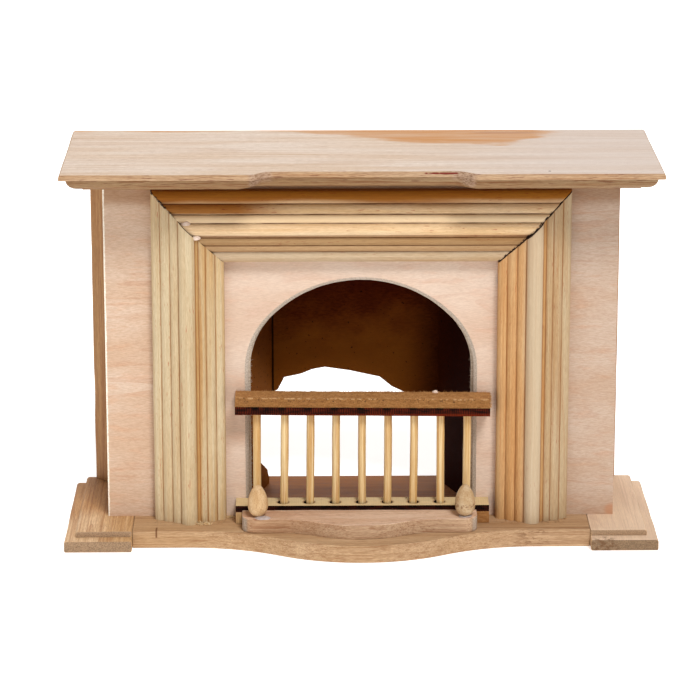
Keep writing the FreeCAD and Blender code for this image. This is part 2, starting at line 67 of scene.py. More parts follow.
# Widths of the moulding's reeds: the cross moulding's from its inner edge up, the legs' from their
# left edges, because the right leg is the left one turned end for end.
TOP_REEDS = (3.15, 1.95, 2.35, 0.6, 3.4, 2.15, 2.6, 3.2)
LEG_REEDS = (2.4, 2.6, 2.3, 4.5, 0.8, 1.95, 2.5, 2.35)

# The cap rail and the strip under it slope down to the right by this many degrees.
RAIL_TILT = 0.55

# Heights between which a dark line follows the mitres, and the depth of the end blocks' step.
RIGHT_JOINT_LOW, RIGHT_JOINT_HIGH = 77, 91
LEFT_JOINT_LOW = 90
PLINTH_STEP = 1.7

# The arch's half width, and how far its curve begins above the panel's foot.
ARCH_HALF, ARCH_SPRING = 29.9, 41.3

BARS = range(1, 10)

# Distances between the laser's ribs on the strips and between the lathe tool's rings on the eggs.
RIB_PITCH, TOOL_PITCH = 0.62, 0.5


# --- materials ------------------------------------------------------------------------------------


def linear(tint):
    """A screen colour, 0 to 255, as the linear colour that the shader wants."""
    parts = (part / 255 for part in tint)
    return (*(part / 12.92 if part <= 0.04045 else ((part + 0.055) / 1.055) ** 2.4
              for part in parts), 1.0)


def lighter(tint, amount):
    """The same hue, amount times as bright."""
    return (*(min(1.0, part * amount) for part in linear(tint)[:3]), 1.0)


class Field:
    """A value that varies over the surface: a node's output, which sums can be done with."""

    def __init__(self, look, socket):
        self.look, self.socket = look, socket

    def __add__(self, other):
        return self.look.math("ADD", self, other)

    def __sub__(self, other):
        return self.look.math("SUBTRACT", self, other)

    def __rsub__(self, other):
        return self.look.math("SUBTRACT", other, self)

    def __mul__(self, other):
        return self.look.math("MULTIPLY", self, other)

    def __abs__(self):
        return self.look.math("ABSOLUTE", self)


class Look:
    """One material, with short methods for the nodes that this scene uses. Its x, y and z are the
    object's own coordinates in millimetres, and facing holds the surface's direction."""

    def __init__(self, name, shift=(0, 0, 0), gloss=0.25):
        self.material = bpy.data.materials.new(name)
        self.material.use_nodes = True
        self.tree = self.material.node_tree
        self.shader = self.tree.nodes["Principled BSDF"]
        self.shader.inputs["Specular IOR Level"].default_value = gloss
        self.shift = shift
        source = self.tree.nodes.new("ShaderNodeTexCoord").outputs
        to_mm = Vector((1, 1, 1)) / MM
        self.place = self.made("Mapping", {"Vector": Field(self, source["Object"]), "Scale": to_mm})
        self.x, self.y, self.z = self.axes(self.place)
        self.facing = self.axes(Field(self, source["Normal"]))

    def feed(self, socket, value):
        """Links a field, or sets a constant. Three numbers in brackets are a screen colour."""
        if isinstance(value, Field):
            self.tree.links.new(value.socket, socket)
        else:
            is_colour = isinstance(value, tuple) and len(value) == 3
            socket.default_value = linear(value) if is_colour else value

    def made(self, kind, inputs, output=0, **settings):
        """The output of a new node with these inputs."""
        node = self.tree.nodes.new("ShaderNode" + kind)
        for name, value in settings.items():
            setattr(node, name, value)
        for name, value in inputs.items():
            self.feed(node.inputs[name], value)
        return Field(self, node.outputs[output])

    def axes(self, vector):
        return [self.made("SeparateXYZ", {0: vector}, number) for number in range(3)]

    def math(self, operation, first, second=0.0):
        return self.made("Math", {0: first, 1: second}, operation=operation)

    def most(self, first, second):
        return self.math("MAXIMUM", first, second)

    def mix(self, amount, first, second, blend="MIX"):
        inputs = {"Factor": amount, 6: first, 7: second}
        return self.made("Mix", inputs, 2, data_type="RGBA", blend_type=blend)

    def tinted(self, base, tint, amount=1.0):
        """base multiplied by tint, all over or by the amount."""
        made = self.mix(1.0, base, tint, "MULTIPLY")
        return self.mix(amount, base, made) if isinstance(amount, Field) else made

    def ramp(self, value, start, end, low_value=0.0, high_value=1.0):
        """Smooth step from low_value to high_value as value goes from start to end."""
        inputs = {"Value": value, "From Min": start, "From Max": end, "To Min": low_value,
                  "To Max": high_value}
        return self.made("MapRange", inputs, interpolation_type="SMOOTHSTEP")

    def fall(self, value, start, end):
        return self.ramp(value, start, end, 1.0, 0.0)

    def within(self, value, start, end, soft):
        """1 while value is between start and end, fading over soft outside them."""
        return self.ramp(value, start - soft, start) * self.fall(value, end, end + soft)

    def near(self, centre, radius, soft=0.5):
        """1 within radius of a point, fading to 0 over a share soft of the radius outside it."""
        inputs = {0: self.place, 1: Vector(centre)}
        distance = self.made("VectorMath", inputs, "Value", operation="DISTANCE")
        return self.fall(distance, radius, radius * (1 + soft))

    def faces(self, number, start=0.5, end=0.8):
        """1 where the surface faces along that axis, either way, and 0 where it doesn't."""
        return self.ramp(abs(self.facing[number]), start, end)

    def cloud(self, lengths, shift=0, detail=2.0, roughness=0.5, distortion=0.0):
        """Noise with lumps about lengths millimetres long, in all directions or in X, Y and Z."""
        if not isinstance(lengths, tuple):
            lengths = (lengths,) * 3
        moved = self.made("Mapping", {
            "Vector": self.place,
            "Location": Vector(self.shift) + Vector(shift or (0, 0, 0)),
            "Scale": Vector([1 / length for length in lengths]),
        })
        inputs = {"Vector": moved, "Scale": 1.0, "Detail": detail, "Roughness": roughness,
                  "Distortion": distortion}
        return self.made("TexNoise", inputs)

    def streaks(self, grain, long, short, *more):
        """A cloud drawn out along axis number grain."""
        return self.cloud(tuple(long if axis == grain else short for axis in range(3)), *more)

    def spots(self, lengths, shift, detail, roughness, start, end, amount=1.0):
        """Patches of amount where a cloud rises from start to end."""
        return self.ramp(self.cloud(lengths, shift, detail, roughness), start, end, 0.0, amount)

    def finish(self, base, height, depth, roughness):
        """Joins colour, bump height (0 to 1, depth in millimetres) and roughness to the shader."""
        normal = self.made("Bump", {"Strength": 1.0, "Distance": depth * MM, "Height": height})
        for name, value in (("Base Color", base), ("Roughness", roughness), ("Normal", normal)):
            self.feed(self.shader.inputs[name], value)
        return self.material


def sawn_wood(name, grain, pale, tan, late, end, fleck, rings=(9, 11, 170),
              strengths=(0.4, 0.6, 0.5, 0.8), cut_from=0.45, shift=(0, 0, 0), paint=None):
    """Bare softwood: drifting tone, growth rings that taper and merge, long streaks, fine fibres,
    resin dashes and speckled end grain. rings is their number and how wide and long they drift,
    strengths are for rings, dashes, streaks and fibres, and paint may add marks, painted light and
    painted shade at the end."""
    ring_count, ring_across, ring_long = rings
    late_strength, fleck_strength, streak_strength, fibre_strength = strengths
    look = Look(name, shift)
    drift = look.streaks(grain, 60, 7, 0, 3, 0.55)
    base = look.mix(look.ramp(drift, 0.35, 0.68), pale, tan)
    contour = look.streaks(grain, ring_long, ring_across, (3, 7, 1), 1.5, 0.4, 0.15)
    phase = look.math("FRACT", contour * ring_count)
    latewood = look.ramp(phase, 0.5, 0.93) * look.fall(phase, 0.955, 1.0)
    patchy = look.ramp(look.streaks(grain, 45, 6, (9, 2, 4), 2), 0.36, 0.66, 0.2, 1.0)
    base = look.mix(latewood * patchy * late_strength, base, late)
    streak = look.streaks(grain, 55, 0.42, (8, 3, 2), 2, 0.6)
    base = look.mix(look.ramp(streak, 0.46, 0.66, 0.0, streak_strength), base, late)
    glint = look.ramp(look.streaks(grain, 40, 0.5, (2, 6, 9), 2, 0.6), 0.52, 0.7, 0.0, 0.5)
    base = look.mix(glint, base, lighter(pale, 1.12))
    fibre = look.streaks(grain, 2.2, 0.15, (1, 5, 8), 3, 0.7)
    fibres = look.mix(look.ramp(fibre, 0.36, 0.64), (214, 204, 192), (255, 255, 255))
    base = look.mix(fibre_strength, base, fibres, "MULTIPLY")
    spot = look.ramp(look.streaks(grain, 2.9, 0.24, (6, 6, 2), 2, 0.6), 0.64, 0.7)
    where = look.ramp(look.streaks(grain, 26, 3.5, (2, 8, 5), 1), 0.52, 0.62)
    base = look.mix(spot * where * fleck_strength, base, fleck)
    cut = look.faces(grain, cut_from, cut_from + 0.3)
    speck = look.cloud(0.32, 0, 3, 0.7)
    end_grain = look.mix(look.ramp(speck, 0.36, 0.6), lighter(end, 0.6), end)
    base = look.mix(cut, base, end_grain)
    if paint:
        base = paint(look, base)
    height = fibre * 0.6 + streak * 0.6 + cut * speck * 1.5
    return look.finish(base, height, 0.05, look.ramp(fibre, 0.2, 0.8, 0.56, 0.76))


def birch_plywood(name):
    """Rotary-cut birch veneer: fine rippled fibres across, faint figure lines, a cream outer edge,
    and a sanded grey edge round the arch."""
    look = Look(name)
    drift = look.cloud((30, 9, 10), 0, 3, 0.55)
    base = look.mix(look.ramp(drift, 0.32, 0.68), (216, 194, 174), (206, 176, 150))
    contour = look.cloud((70, 9, 9), (4, 1, 2), 1.2, 0.4, 0.2)
    phase = look.math("FRACT", contour * 8.0)
    line = look.ramp(phase, 0.6, 0.96) * look.fall(phase, 0.96, 1.0)
    faint = look.spots((14, 9, 8), (7, 1, 3), 1, 0.5, 0.45, 0.62, 0.3)
    base = look.mix(line * faint, base, (190, 138, 104))
    blush = look.spots((9, 4, 2.2), (2, 5, 7), 3, 0.6, 0.5, 0.72, 0.45)
    base = look.mix(blush, base, (210, 166, 134))
    fibre = look.cloud((1.3, 0.3, 0.13), 0, 3, 0.65)
    fibres = look.mix(look.ramp(fibre, 0.35, 0.65), (224, 212, 204), (255, 255, 255))
    base = look.mix(0.7, base, fibres, "MULTIPLY")
    pore = look.spots((0.8, 0.3, 0.12), (3, 3, 3), 1, 0.5, 0.68, 0.74, 0.3)
    base = look.mix(pore, base, (190, 146, 120))
    start, end = low("front_panel"), high("front_panel")
    inside = look.fall(abs(look.x), 50.0, 52.0)
    base = look.mix(inside * 0.2, base, (234, 218, 208))
    # Painted shadow of the shelf: the panel is darker towards its top, just under the shelf.
    base = look.tinted(base, (212, 196, 178), look.ramp(look.z, end.z - 9.5, end.z - 5.0))
    base = look.tinted(base, (236, 236, 238), look.ramp(look.x, 50.0, 58.0))
    rubbed = look.near((end.x - 0.6, start.y, start.z + 1.4), 0.9, 1.6)
    base = look.mix(rubbed * 0.5, base, (190, 126, 84))
    ragged = look.cloud((1, 1, 2.2), (4, 2, 6), 3, 0.7)
    chipped = look.ramp(look.x + ragged * 0.5, start.x + 0.55, start.x + 0.75)
    front = look.faces(1, 0.86, 0.97) * chipped
    speck = look.cloud(0.3, 0, 2, 0.7)
    rim = look.mix(look.ramp(speck, 0.35, 0.65), (176, 160, 144), (214, 202, 188))
    outer = look.mix(look.ramp(speck, 0.3, 0.6), (226, 210, 188), (250, 243, 228))
    thick = end.y - start.y
    core = look.within(look.y, start.y + thick * 0.36, start.y + thick * 0.64, 0.08)
    plies = look.mix(core, (232, 210, 176), (196, 158, 114))
    plies = look.mix(look.ramp(speck, 0.3, 0.7, 0.0, 0.4), plies, (186, 150, 112))
    sawn = look.mix(look.faces(0, 0.6, 0.9), outer, plies)
    base = look.mix(front, look.mix(inside, sawn, rim), base)
    relief = fibre * 0.6 + line * -0.2
    return look.finish(base, relief, 0.02, look.ramp(fibre, 0.2, 0.8, 0.55, 0.72))


def fibreboard(name, dark, pale, speck_colour, fuzz_depth=0.1, gloss=0.25, paint=None):
    """Pressed brown board: matted fibres, dark specks and a rough surface."""
    look = Look(name, gloss=gloss)
    matted = look.cloud((1.6, 1.6, 0.5), 0, 4, 0.7)
    base = look.mix(look.ramp(matted, 0.34, 0.66), dark, pale)
    base = look.mix(look.spots(14, 0, 2, 0.5, 0.3, 0.7, 0.35), base, dark)
    fine = look.cloud(0.28, (2, 4, 6), 3, 0.7)
    base = look.mix(look.ramp(fine, 0.62, 0.72, 0.0, 0.75), base, speck_colour)
    hairs = look.spots((1.2, 1.2, 0.16), (5, 1, 3), 2, 0.6, 0.64, 0.74, 0.4)
    base = look.mix(hairs, base, lighter(pale, 1.7))
    if paint:
        base = paint(look, base)
    rough = look.ramp(matted, 0.2, 0.8, 0.82, 0.95)
    return look.finish(base, matted + fine * 0.8, fuzz_depth, rough)


def scorched_plywood(name, node, pale, rim):
    """Laser-cut strip: pale faces up and down, charred ribbed edges with a brown rim, blackest over
    the bars."""
    look = Look(name, gloss=0.05)
    fibre = look.streaks(0, 5, 0.25, 0, 3, 0.6)
    face = look.mix(look.ramp(fibre, 0.3, 0.7), lighter(pale, 0.8), pale)
    across = look.x + look.cloud(2.5, 0, 2) * 0.5
    rib = look.ramp(look.math("SINE", across * (2 * math.pi / RIB_PITCH)), -0.8, 0.8)
    burn = look.cloud((3.5, 3.5, 0.8), (1, 2, 3), 3, 0.6)
    char = look.mix(look.ramp(burn, 0.35, 0.65), (14, 4, 3), (46, 16, 8))
    char = look.mix(rib * look.ramp(burn, 0.3, 0.7, 0.02, 0.3), char, rim)
    bottom, top = low(node).z, high(node).z
    low_edge = look.ramp(look.z, bottom + 0.1, bottom + 0.7, 0.7, 0.0)
    char = look.mix(low_edge * look.ramp(burn, 0.3, 0.6, 1.0, 0.3), char, rim)
    pitch = middle("grate_bar_2").x - middle("grate_bar_1").x
    beat = look.math("COSINE", (across - middle("grate_bar_1").x) * (2 * math.pi / pitch))
    scorch = look.ramp(beat, 0.35, 0.9) * look.ramp(burn, 0.25, 0.6)
    upper = look.ramp(look.z, bottom + (top - bottom) * 0.35, top - 0.3)
    char = look.mix(scorch * upper, char, (10, 3, 2))
    halo = 0.0
    for number in BARS:
        bar = middle(f"grate_bar_{number}")
        halo = look.most(look.near((bar.x, bar.y - 0.2, top), 1.5, 0.45), halo)
    face = look.mix(halo * 0.65, face, (118, 70, 30))
    base = look.mix(look.faces(2, 0.6, 0.85), char, face)
    rough = look.ramp(burn, 0.2, 0.8, 0.55, 0.8)
    return look.finish(base, rib * 0.8 + burn * 0.4, 0.06, rough)


def stick_bamboo(name, shift):
    """Round cocktail stick: long straw-coloured streaks with a few brown ones."""
    look = Look(name, shift)
    streak = look.streaks(2, 40, 0.5, 0, 3, 0.6)
    base = look.mix(look.ramp(streak, 0.34, 0.62), (226, 201, 152), (194, 150, 90))
    brown = look.ramp(look.streaks(2, 26, 0.32, (4, 9, 2), 2), 0.56, 0.68, 0.0, 0.5)
    base = look.mix(brown, base, (166, 104, 66))
    fibre = look.streaks(2, 3, 0.12, (7, 1, 5), 3, 0.6)
    base = look.mix(look.ramp(fibre, 0.5, 0.75, 0.0, 0.3), base, (250, 232, 190))
    return look.finish(base, fibre, 0.03, look.ramp(fibre, 0.2, 0.8, 0.42, 0.6))


def turned_wood(name):
    """Smooth turned egg: fine speckle and faint rings left by the tool."""
    look = Look(name)
    drift = look.cloud((1.6, 1.6, 3.0), 0, 2)
    base = look.mix(look.ramp(drift, 0.3, 0.7), (208, 176, 134), (188, 150, 104))
    speck = look.cloud((0.3, 0.3, 0.45), 0, 3, 0.7)
    base = look.mix(look.ramp(speck, 0.54, 0.66, 0.0, 0.6), base, (158, 108, 66))
    base = look.mix(look.ramp(speck, 0.3, 0.44, 0.45, 0.0), base, (232, 208, 170))
    pit = look.cloud((0.9, 0.9, 0.7), (4, 2, 8), 2, 0.6)
    belly = middle("finial_left").z - 1.2
    on_right = look.ramp(look.x, 0, 1)
    waist = look.within(look.z, belly - 0.5, belly + 0.5, 0.4) * on_right
    base = look.mix(waist * look.ramp(pit, 0.46, 0.6, 0.0, 0.8), base, (140, 96, 58))
    base = look.tinted(base, (236, 242, 252), on_right)
    ring = look.math("SINE", look.z * (2 * math.pi / TOOL_PITCH))
    rough = look.ramp(speck, 0.2, 0.8, 0.45, 0.62)
    return look.finish(base, speck + ring * 0.15, 0.03, rough)


def dried_glue(name, tint, see_through):
    """Dried white glue or filler, slightly clear and uneven."""
    look = Look(name)
    cloud = look.cloud(0.5, 0, 3, 0.6)
    base = look.mix(look.ramp(cloud, 0.3, 0.7), tint, lighter(tint, 0.85))
    look.shader.inputs["Transmission Weight"].default_value = see_through
    return look.finish(base, cloud, 0.08, look.ramp(cloud, 0.2, 0.8, 0.28, 0.5))


def shelf_marks(look, base):
    """The moulded edge is browner than the sanded top and streaked with dark grain, torn grain
    shows where the edge steps back, and a warm stain lies along the back of the top."""
    across, height = look.x, look.z
    top = high("mantel_shelf").z
    on_top = look.ramp(look.facing[2], 0.75, 0.95)
    off_top = 1.0 - on_top
    base = look.mix(on_top, look.tinted(base, (222, 201, 173)), base)
    lower = look.fall(height, top - 2.2, top - 1.5)
    base = look.tinted(base, (214, 211, 198), lower * off_top)
    base = look.mix(look.ramp(across, 0.0, 60.0) * on_top * 0.5, base, (202, 191, 186))
    drawn = look.spots((15, 2.5, 0.42), (3, 1, 4), 3, 0.6, 0.52, 0.64, 0.85) * off_top
    base = look.mix(drawn * look.ramp(lower, 0, 1, 0.4, 1), base, (122, 76, 42))
    dashes = look.spots((5, 3, 0.24), (9, 3, 1), 2, 0.6, 0.6, 0.67, 0.75)
    base = look.mix(dashes * off_top, base, (98, 46, 26))
    in_front = look.fall(look.y, -20.5, -18.5)
    torn_place = look.within(abs(across), 24.4, 28.6, 1.6) * off_top * in_front
    torn = look.cloud((0.9, 1.2, 0.4), (4, 4, 1), 3, 0.65)
    torn_colour = look.mix(look.ramp(torn, 0.36, 0.62), (120, 90, 68), (186, 158, 138))
    base = look.mix(torn_place * 0.65, base, torn_colour)
    resin = look.within(across, 16.8, 24.6, 0.8) * look.within(height, top - 0.75, top - 0.45, 0.12)
    resin = resin * look.fall(look.y, -20.0, -19.0)
    broken = look.spots((1.8, 4, 0.5), (1, 1, 1), 1, 0.5, 0.4, 0.5)
    base = look.mix(resin * broken, base, (112, 34, 22))
    base = look.mix(look.near((48.9, -21.7, top), 0.25, 1.0), base, (70, 30, 22))
    ragged = look.cloud((20, 4.0, 8), (2, 5, 1), 4, 0.62)
    reach = look.ramp(across, -24.0, 28.0, 1.5, 18.5) + look.ramp(across, 38.0, 54.0, 0.0, -13.0)
    from_back = high("mantel_shelf").y - look.y
    edge = from_back - reach + (ragged - 0.5) * 16.0
    stain = look.fall(edge, -3.0, 2.0) * look.fall(across + (ragged - 0.5) * 30.0, 46.0, 56.0)
    cloud = look.cloud((26, 3, 8), (6, 1, 3), 3, 0.6)
    stain = stain * look.ramp(cloud, 0.3, 0.7, 0.7, 1.1) * on_top
    base = look.mix(stain * 0.9, base, (190, 132, 72))
    tip = look.within(across, 36.0, 45.0, 7.0) * look.within(from_back, 3.6, 4.2, 1.6)
    return look.mix(tip * cloud * on_top, base, (150, 92, 48))


def mitre_faces(look, base):
    """Sawn mitre faces are dark, and a broken dark line follows each joint: all along on the right,
    near the outer corner on the left. Both are painted shade in the gap between the boards, and
    partly darker end grain."""
    across, height = look.x, look.z
    sloped = look.faces(0, 0.5, 0.65) * look.faces(2, 0.5, 0.65)
    base = look.mix(sloped * 0.9, base, (52, 24, 12))
    corner = high("surround_top")
    off_joint = abs(abs(across) - height - (corner.x - corner.z))
    thick = look.spots(0.9, (3, 8, 5), 2, 0.6, 0.42, 0.56)
    right = look.ramp(across, 0, 1) * look.within(height, RIGHT_JOINT_LOW, RIGHT_JOINT_HIGH, 1.5)
    left = look.fall(across, -1, 0) * look.ramp(height, LEFT_JOINT_LOW, LEFT_JOINT_LOW + 2)
    where = look.most(right, left) * thick
    return look.mix(look.fall(off_joint, 0.25, 0.6) * where, base, (40, 14, 8))


def grooves(look, base, place, start, widths, tint, strength):
    """Painted shade: a thin dark line, now and then broken, down each groove between reeds of these
    widths.
    """
    along = look.cloud((9, 2, 9), (2, 7, 1), 3, 0.6)
    amount = look.ramp(along, 0.3, 0.6, 0.45 * strength, strength)
    edge = start
    for width in widths[:-1]:
        edge += width
        line = look.within(place, edge - 0.06, edge + 0.06, 0.17)
        base = look.mix(line * amount, base, tint)
    return base


def banded(look, base, place, bands):
    """Multiplies stretches of the surface, (start, end, colour), by their own tint."""
    for start, end, tint in bands:
        base = look.tinted(base, tint, look.within(place, start, end, 0.15))
    return base


def top_board_tone(look, base):
    """The cross moulding: dark amber at its uppermost reed, and towards the left at the next one,
    is painted shadow of the shelf and partly resin; the third reed is pale and warm, a painted
    highlight; olive brown under the widest reed and pale again at the lowest."""
    height = look.z
    bottom = low("surround_top").z
    edges = [bottom]
    for width in TOP_REEDS:
        edges.append(edges[-1] + width)
    drift = (look.cloud((40, 9, 4)) - 0.5) * 3
    # Painted shadow of the shelf, partly resin: dark amber over the uppermost reed, and over the
    # next one on the left, where the shelf stands further out.
    upper = look.ramp(height + drift, edges[7] - 0.6, edges[7] + 1.3)
    to_left = look.ramp(look.x + drift * 4, -34.0, -18.0, 0.95, 0.0)
    second = look.within(height, edges[6] + 0.5, edges[7] - 0.2, 0.7) * to_left
    base = look.tinted(base, (178, 128, 44), look.most(upper, second))
    # Painted highlight: the third reed from the top is made pale and warm.
    base = look.mix(look.within(height, edges[5], edges[6], 0.3) * 0.6, base, (246, 220, 180))
    tints = (216, 216, 220), (194, 176, 156), (186, 168, 144), (204, 186, 172)
    base = banded(look, base, height, zip(edges, edges[1:], tints))
    base = grooves(look, base, height, bottom, TOP_REEDS, (96, 52, 24), 0.85)
    return mitre_faces(look, base)


def left_leg_tone(look, base):
    """The inner reeds of the left leg are more golden than the outer ones."""
    wander = look.streaks(2, 60, 1.2, (5, 5, 5), 2, 0.5)
    inner = look.ramp(look.x, -45.5, -43.0) * look.ramp(wander, 0.38, 0.62, 0.05, 0.6)
    base = look.tinted(base, (250, 220, 172), inner)
    start = low("surround_left").x
    fillet = start + sum(LEG_REEDS[:4])
    base = banded(look, base, look.x, [(fillet, fillet + LEG_REEDS[4], (240, 220, 188))])
    base = grooves(look, base, look.x, start, LEG_REEDS, (150, 98, 48), 0.75)
    return mitre_faces(look, base)


def right_leg_tone(look, base):
    """The inner reeds of the right leg are more orange than the outer ones, its middle is pale."""
    base = look.tinted(base, (250, 218, 176), look.ramp(look.x, 42.5, 45.0, 0.8, 0.0))
    pale = look.mix(0.6, base, (188, 172, 148))
    base = look.mix(look.within(look.x, 44.3, 48.2, 0.6) * 0.9, base, pale)
    start, end = low("surround_right").x, high("surround_right").x
    edges = start + sum(LEG_REEDS[:4]), start + sum(LEG_REEDS[:5]), end
    base = banded(look, base, look.x, zip(edges, edges[1:], ((238, 216, 184), (231, 228, 223))))
    base = grooves(look, base, look.x, start, LEG_REEDS, (146, 92, 44), 0.75)
    return mitre_faces(look, base)


def hearth_tone(look, base):
    """The hearth is browner behind the grate, painted shade of the firebox and partly a browner
    tone, and greyer along its front to the right.
    """
    across, depth = look.x, look.y
    panel = low("front_panel").y
    # Painted shade of the firebox on the hearth behind the grate, partly a browner tone.
    inside = look.ramp(depth, panel - 1, panel + 3) * look.fall(abs(across), 25, 33)
    base = look.tinted(base, (192, 143, 70), inside)
    wander = look.cloud((30, 8, 3), (1, 6, 4), 3, 0.6)
    right = look.ramp(across, -10.0, 30.0) * look.ramp(wander, 0.35, 0.6, 0.4, 1.0)
    base = look.tinted(base, (236, 232, 230), right)
    in_front = look.faces(1)
    drawn = look.spots((12, 2.5, 0.4), (3, 7, 4), 3, 0.6, 0.56, 0.68, 0.6)
    base = look.mix(drawn * in_front, base, (140, 96, 62))
    beside = low("surround_left").x + 0.6
    dash = look.within(across, beside, beside + 0.25, 0.2) * look.within(look.z, 3.2, 5.0, 0.5)
    dash = dash * look.fall(depth, -15.0, -14.0)
    base = look.mix(dash * 0.85, base, (98, 56, 26))
    front = low("plinth_right").y + 4.0
    swirl = look.cloud((2.2, 4, 0.7), (2, 9, 3), 3, 0.65, 0.8)
    torn = look.near((46.5, front, 2.6), 3.0, 1.0) * look.ramp(swirl, 0.5, 0.62) * in_front
    base = look.mix(torn * 0.55, base, (112, 76, 48))
    crack = look.within(depth, -18.9, -18.7, 0.14) * look.ramp(across, 36.0, 40.0)
    return look.mix(crack * 0.6, base, (120, 84, 56))


def plinth_tone(look, base):
    """The tops of the end blocks carry painted shadow, in brown, behind the panel on the left and
    painted light, paler, on the right. Their fronts are greyer below the step, with pits and torn
    grain."""
    # Painted shadow on the left block's top, behind the panel.
    brown = look.fall(look.x, -1, 1) * look.ramp(look.y, -8.0, 4.0)
    base = look.tinted(base, (224, 204, 176), brown)
    to_right = look.ramp(look.x, 0, 1)
    # Painted light: the right block's top made paler.
    base = look.mix(to_right * look.faces(2), base, look.mix(0.5, base, (226, 204, 184)))
    split = high("plinth_left").z - PLINTH_STEP
    front = look.faces(1) * look.fall(look.z, split - 0.1, split + 0.1)
    base = look.tinted(base, (238, 236, 232), front)
    base = look.tinted(base, (224, 222, 218), front * to_right)
    pits = look.spots((0.7, 0.7, 0.5), (4, 1, 2), 2, 0.6, 0.6, 0.68, 0.7)
    base = look.mix(front * pits, base, (116, 84, 60))
    torn = look.spots((1.4, 1.4, 1.0), (6, 2, 9), 3, 0.65, 0.46, 0.56)
    torn = torn * look.near(low("plinth_right") + Vector((3.4, 0, 0.6)), 2.6, 0.8)
    return look.mix(torn * 0.75, base, (104, 70, 42))


def shaded_sawn_fronts(look, base):
    """Faces sawn across the sheet, front and back, are darker than its top and bottom: painted
    shade for light falling from high above, and partly the darker sawn edge.
    """
    return look.tinted(base, (220, 212, 198), look.faces(1, 0.6, 0.85))


def rail_marks(look, base):
    """The sawn front is darker than the top, painted shade and partly the darker sawn fibre, and a
    pale torn line with black specks runs along the arris between them."""
    base = shaded_sawn_fronts(look, base)
    grit = look.cloud((0.4, 0.4, 0.26), (7, 2, 5), 3, 0.7)
    base = look.mix(look.ramp(grit, 0.5, 0.64, 0.0, 0.6), base, (100, 60, 26))
    base = look.mix(look.ramp(grit, 0.3, 0.42, 0.45, 0.0), base, (206, 160, 106))
    start, end = low("grate_cap_rail"), high("grate_cap_rail")
    drop = (look.x - middle("grate_cap_rail").x) * math.tan(math.radians(RAIL_TILT))
    level = look.z + drop - end.z + (look.cloud(5, (3, 3, 3), 2, 0.6) - 0.5) * 0.5
    forward = look.fall(look.y, start.y + 0.35, start.y + 0.6)
    line = look.within(level, -0.22, 0.1, 0.12) * forward
    torn = look.spots(1.1, (8, 4, 5), 2, 0.6, 0.5, 0.6)
    base = look.mix(line * torn * 0.5, base, (222, 184, 136))
    specks = look.spots((0.42, 0.42, 0.3), (1, 9, 2), 1, 0.5, 0.64, 0.68)
    band = look.within(level, -1.0, 0.0, 0.3) * forward
    return look.mix(specks * band * 0.8, base, (40, 20, 10))


def firebox_light_and_shade(look, base):
    """Painted light and shade in the firebox: golden brown painted light near the hardboard's rough
    lower edge and to the left, painted shade darkest to the right and at the top, with a black line
    where the back meets the left cheek. Faces turned outward and back keep the raw board's brown."""
    across = look.x
    level = look.z + (look.cloud((14, 14, 10)) - 0.5) * 18
    # Painted light: the patch lit through the arch, golden brown low down and to the left.
    lit_near_foot = look.ramp(level, 40.0, 57.0, 0.8, 0.0) * look.ramp(across, 8.0, 24.0, 1.0, 0.15)
    base = look.mix(lit_near_foot, base, (140, 82, 26))
    # Painted shade at the top, under the arch.
    base = look.tinted(base, (196, 154, 156), look.ramp(level, 50.0, 64.0))
    spot = look.spots(0.9, (6, 6, 6), 1, 0.5, 0.7, 0.74, 0.8)
    base = look.mix(spot, base, (20, 6, 2))
    # Painted shade to the right.
    base = look.tinted(base, (118, 86, 80), look.ramp(across, 12.0, 27.0))
    joint = high("firebox_cheek_left").x
    black = look.within(across, joint - 0.1, joint + 0.3, 0.15)
    base = look.mix(black * 0.9, base, (16, 6, 3))
    outward = look.facing[0] * look.math("SIGN", across)
    outside = look.most(look.ramp(outward, 0.5, 0.8), look.ramp(look.facing[1], 0.5, 0.8))
    fleece = look.spots(0.9, 0, 3, 0.7, 0.34, 0.66)
    raw = look.mix(fleece, (92, 60, 34), (148, 106, 68))
    return look.mix(outside * 0.85, base, raw)


def only_rim_pale(look, base):
    """The arch board is pale only where it was cut round the arch: its back and edges are brown."""
    behind = look.ramp(look.facing[1], 0.55, 0.8)
    out_x = look.ramp(abs(look.x), 33.5, 35.0)
    out_z = look.ramp(look.z, 73.5, 75.0)
    away = look.most(behind, look.most(out_x, out_z))
    return look.tinted(base, (164, 112, 66), away)


